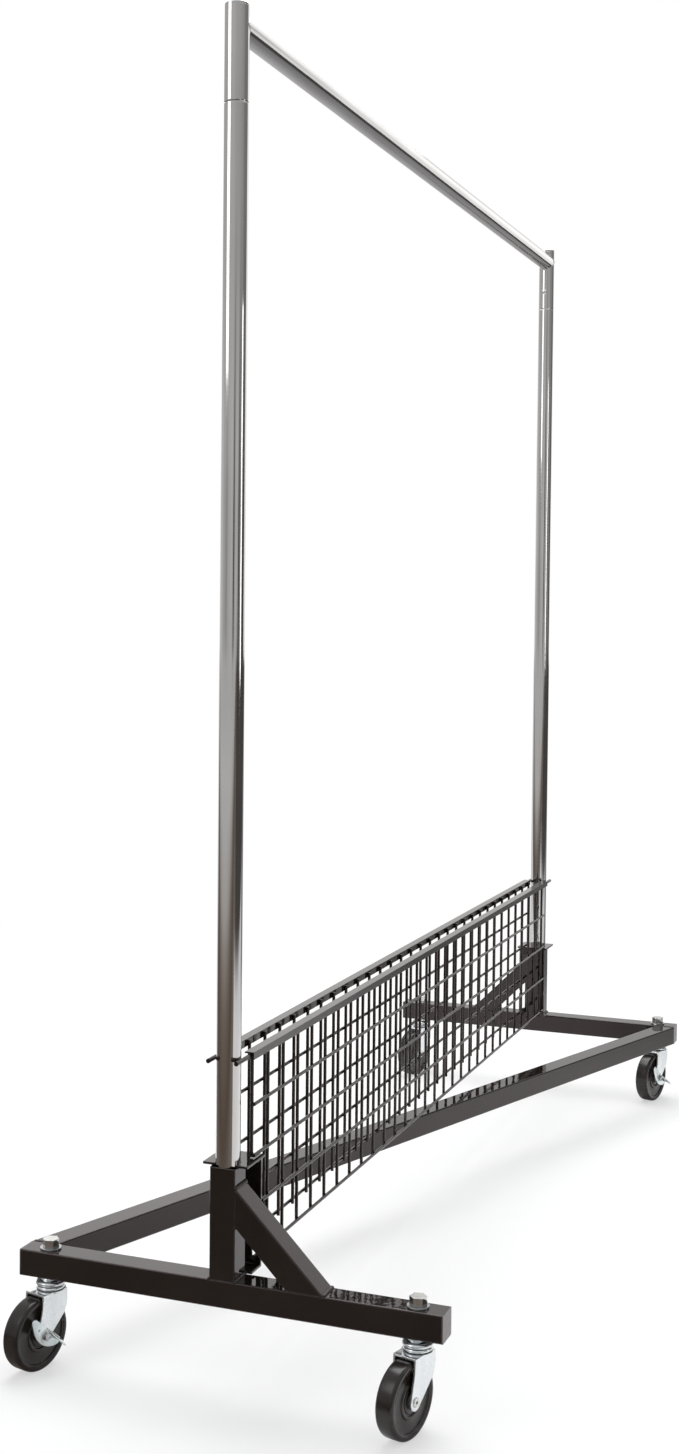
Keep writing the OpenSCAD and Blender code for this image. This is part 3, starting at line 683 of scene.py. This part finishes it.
# A rougher copy of the bolt zinc, coloured darker as painted shade, for the washers and the small hex heads
# of the brake bolts.
shade_darkened_zinc = bright_zinc("shade_darkened_head_zinc", gloss=(0.14, 0.26), rounding=0.0005, metal=1.0,
                        dark=(0.34, 0.35, 0.36), pale=(0.50, 0.51, 0.52), dents=0.12)
wear("caster_washers", shade_darkened_zinc)

# ---- caster forks ----
# Pressed sheet steel: a crown with the lower bearing cup and two legs, zinc plated
# to a soft bluish white and rubbed glossier on the crown. The axle is a plated bolt
# with a nut.
fork_zinc = bright_zinc("bright_zinc_plate", gloss=(0.22, 0.30), rounding=0.0011, metal=0.85,
                        dark=(0.76, 0.795, 0.81), pale=(0.87, 0.89, 0.895), dents=0.025)
nodes, links = fork_zinc.node_tree.nodes, fork_zinc.node_tree.links
fork_gloss = nodes["Principled BSDF"].inputs["Roughness"]
crown_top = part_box("fork_a")[1].z
fork_height = nodes.new("ShaderNodeSeparateXYZ")
links.new(nodes["Texture Coordinate"].outputs["Object"], fork_height.inputs[0])
crown = nodes.new("ShaderNodeMapRange")
crown.inputs["From Min"].default_value = crown_top - 0.0080
crown.inputs["From Max"].default_value = crown_top - 0.0068
links.new(fork_height.outputs["Z"], crown.inputs["Value"])
race_gloss = nodes.new("ShaderNodeMapRange")
race_gloss.inputs["To Max"].default_value = 0.09
links.new(crown.outputs["Result"], race_gloss.inputs["Value"])
links.new(fork_gloss.links[0].from_socket, race_gloss.inputs["To Min"])
links.new(race_gloss.outputs["Result"], fork_gloss)
for corner in "abcd":
    wear("fork_" + corner, fork_zinc)
    wear("axle_" + corner, bolt_zinc)
    wear("axle_nut_" + corner, bolt_zinc)

# ---- foot brakes ----
# A leaf-shaped plate, pressed from sheet steel and zinc plated, turns on the axle
# bolt. Its upper edge is turned out into a pedal. The bolt has a small hex head.
joints = {joint["name"]: joint for joint in frame["joints"]}


# Points on an arc from the first angle to the last, in degrees.
def arc(x, y, r, first, last, steps):
    turns = [math.radians(first + (last - first) * k / steps) for k in range(steps + 1)]
    return [(x + r * math.cos(turn), y + r * math.sin(turn)) for turn in turns]


# Cuts an outline, in millimetres from a corner, out of sheet of one thickness.
def pressed(outline, corner, along, up, out, sheet):
    spots = [corner + along * (x / 1000) + up * (y / 1000) for x, y in outline]
    bpy.ops.mesh.select_all(action="DESELECT")
    bpy.ops.mesh.primitive_plane_add(size=0.001, location=spots[0])
    bpy.ops.mesh.merge(type="CENTER")
    for here, there in zip(spots, spots[1:]):
        bpy.ops.mesh.extrude_region_move(TRANSFORM_OT_translate={"value": there - here})
    bpy.ops.mesh.select_linked()
    bpy.ops.mesh.edge_face_add()
    bpy.ops.mesh.extrude_region_move(TRANSFORM_OT_translate={"value": out * sheet})


# The plate is drawn from the axle, and the pedal from the fold along its upper edge.
leaf = arc(-28.5, 4.9, 5.0, 90, 215, 7)
leaf += arc(-1.0, 29.0, 40.4, 230, 308, 14)
leaf += arc(24.4, 3.6, 4.4, -30, 10, 4)
leaf += [(28.6, 8.6), (27.4, 9.9)]
pedal = [(-12.0, 0.5), (4.0, 4.5)]
pedal += arc(17.9, 15.9, 4.0, 160, 90, 4)
pedal += arc(23.8, 15.9, 4.0, 90, 0, 5)
pedal += [(27.8, 0.5)]
plate_sheet = 0.0020
pedal_rise = 0.0079
rivet_back = 0.0155
rivet_rise = 0.0015
seat_rise = 0.0028
shank_r = 0.0040
collar_r = 0.0064
head_r = 0.0056
plate_tilt = math.radians(40)
pedal_droop = math.radians(21)
brake_zinc = bright_zinc("brake_zinc_plate", gloss=(0.10, 0.22), rounding=0.0010, metal=0.9,
                         dark=(0.60, 0.68, 0.69), pale=(0.84, 0.87, 0.87), dents=0.30)
for corner in "ad":
    brake = joints["foot_brake_" + corner]
    hub = Vector(brake["pos_m"])
    out = -Vector(brake["axis"]).normalized()
    level = Vector((-out.y, out.x, 0))
    along = level * math.cos(plate_tilt) - Vector((0, 0, 1)) * math.sin(plate_tilt)
    up = level * math.sin(plate_tilt) + Vector((0, 0, 1)) * math.cos(plate_tilt)
    face = min((v.co - hub).dot(out) for v in frame["nodes"]["brake_lever_" + corner].data.vertices)
    inner_face = hub + out * face
    outer_face = hub + out * (face + plate_sheet)
    bpy.ops.object.select_all(action="DESELECT")
    bpy.ops.mesh.primitive_cylinder_add(vertices=48, radius=0.0082, depth=0.0012, location=outer_face,
                                        rotation=out.to_track_quat("Z", "Y").to_euler())
    lever = bpy.context.object
    bpy.ops.object.transform_apply(location=True, rotation=True, scale=True)
    bpy.ops.object.mode_set(mode="EDIT")
    pressed(leaf, inner_face, along, up, out, plate_sheet)
    blade = out * math.cos(pedal_droop) - up * math.sin(pedal_droop)
    pressed(pedal, inner_face + up * pedal_rise, along, blade, up, plate_sheet)
    bpy.ops.mesh.select_all(action="DESELECT")
    rivet = outer_face - along * rivet_back + up * rivet_rise
    bpy.ops.mesh.primitive_uv_sphere_add(segments=24, ring_count=12, radius=0.0016, location=rivet)
    bpy.ops.mesh.select_all(action="SELECT")
    bpy.ops.mesh.normals_make_consistent(inside=False)
    bpy.ops.object.mode_set(mode="OBJECT")
    soften(lever, width=0.0005, sharp=40)
    bpy.ops.object.shade_smooth_by_angle(angle=math.radians(35))
    lever.name = "brake_plate_" + corner
    lever.data.materials.append(brake_zinc)
    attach(lever, "brake_" + corner)
    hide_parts("brake_lever_" + corner)
    tail = min((v.co - hub).dot(out) for v in frame["nodes"]["axle_" + corner].data.vertices)
    seat = face + seat_rise
    bolt = [
        (0.0, tail), (0.0034, tail), (shank_r, tail + 0.0008), (shank_r, seat),
        (collar_r, seat), (collar_r, seat + 0.0009), (0.0, seat + 0.0009)]
    shank = turned("axle_bolt_" + corner, bolt, hub, axis=out, start=(0, 0, 1),
                   steps=48, finish=bolt_zinc, rounding=0.0002)
    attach(shank, "fork_" + corner)
    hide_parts("axle_" + corner)
    hexagon = [
        (0.0, seat + 0.0005), (head_r, seat + 0.0005), (head_r, seat + 0.0040),
        (0.0050, seat + 0.0046), (0.0, seat + 0.0046)]
    head = turned("axle_head_" + corner, hexagon, hub, axis=out, start=(0, 0, 1),
                  steps=6, finish=shade_darkened_zinc, rounding=0.0002)
    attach(head, "fork_" + corner)


# ---- wheels ----
# Solid moulded wheels, brown black, with raised and sunk rings on both faces and a
# round shoulder to a plain tread. Each turns on its axle between the fork's legs.
def wheel_moulding():
    finish, nodes, links, shader, place = new_finish("hard_wheel_moulding")
    shader.inputs["IOR"].default_value = 1.46
    edge, rounded = edge_wear_and_highlight(nodes, links, radius=0.0009)
    mottle = cloudy(nodes, links, place, size=60, detail=6)
    body = two_tone(nodes, links, mottle, (0.0125, 0.0090, 0.0074), (0.0235, 0.0172, 0.0142))
    # Lighter along the edges: some dust, and a painted highlight.
    dust_and_edge_highlight = nodes.new("ShaderNodeMixRGB")
    dust_and_edge_highlight.inputs["Color2"].default_value = (0.050, 0.041, 0.036, 1)
    links.new(edge, dust_and_edge_highlight.inputs["Fac"])
    links.new(body, dust_and_edge_highlight.inputs["Color1"])
    links.new(dust_and_edge_highlight.outputs["Color"], shader.inputs["Base Color"])
    haze = cloudy(nodes, links, place, size=45, detail=5, low=0.14, high=0.30)
    links.new(haze, shader.inputs["Roughness"])
    grain = cloudy(nodes, links, place, size=700, detail=2)
    relief(nodes, links, shader, grain, strength=0.12, depth=0.0003, under=rounded)
    return finish


# Half of the section, from the bore out to the tread: radius and half width, in
# millimetres.
half_section = [
    (4.3, 13.3), (9.1, 13.3), (9.6, 10.5), (15.0, 10.4), (15.4, 9.0), (17.4, 9.0), (17.9, 11.0),
    (21.8, 10.9), (22.4, 8.9), (37.6, 8.9), (38.3, 11.3), (40.3, 11.4), (40.9, 12.5), (43.0, 12.5)]
half_section += arc(43.0, 8.0, 4.5, 75, 0, 5)
section = half_section + [(r, -h) for r, h in reversed(half_section)] + [half_section[0]]
section = [(r / 1000, h / 1000) for r, h in section]
wheel_black = wheel_moulding()
for corner in "abcd":
    roll = joints["roll_" + corner]
    wheel = turned("wheel_moulding_" + corner, section, roll["pos_m"], axis=roll["axis"], start=(0, 0, 1),
                   steps=96, finish=wheel_black, rounding=0.0003)
    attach(wheel, "wheel_" + corner)
    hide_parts("wheel_" + corner)

# ---- shelf ----
# Two halves of welded wire mesh hang from angle bars on round rods. They were
# dipped in the same black paint, which lies a little duller on the wire.
wire_paint = black_paint("wire_black_paint", gloss=0.07, peel=0.05, rounding=0.0004)
for half in ("front", "back"):
    for node in ("shelf_bar_", "shelf_mesh_", "catch_rod_", "pivot_lugs_", "pivot_pins_"):
        wear(node + half, wire_paint)

bpy.context.scene.view_settings.view_transform = "Standard"
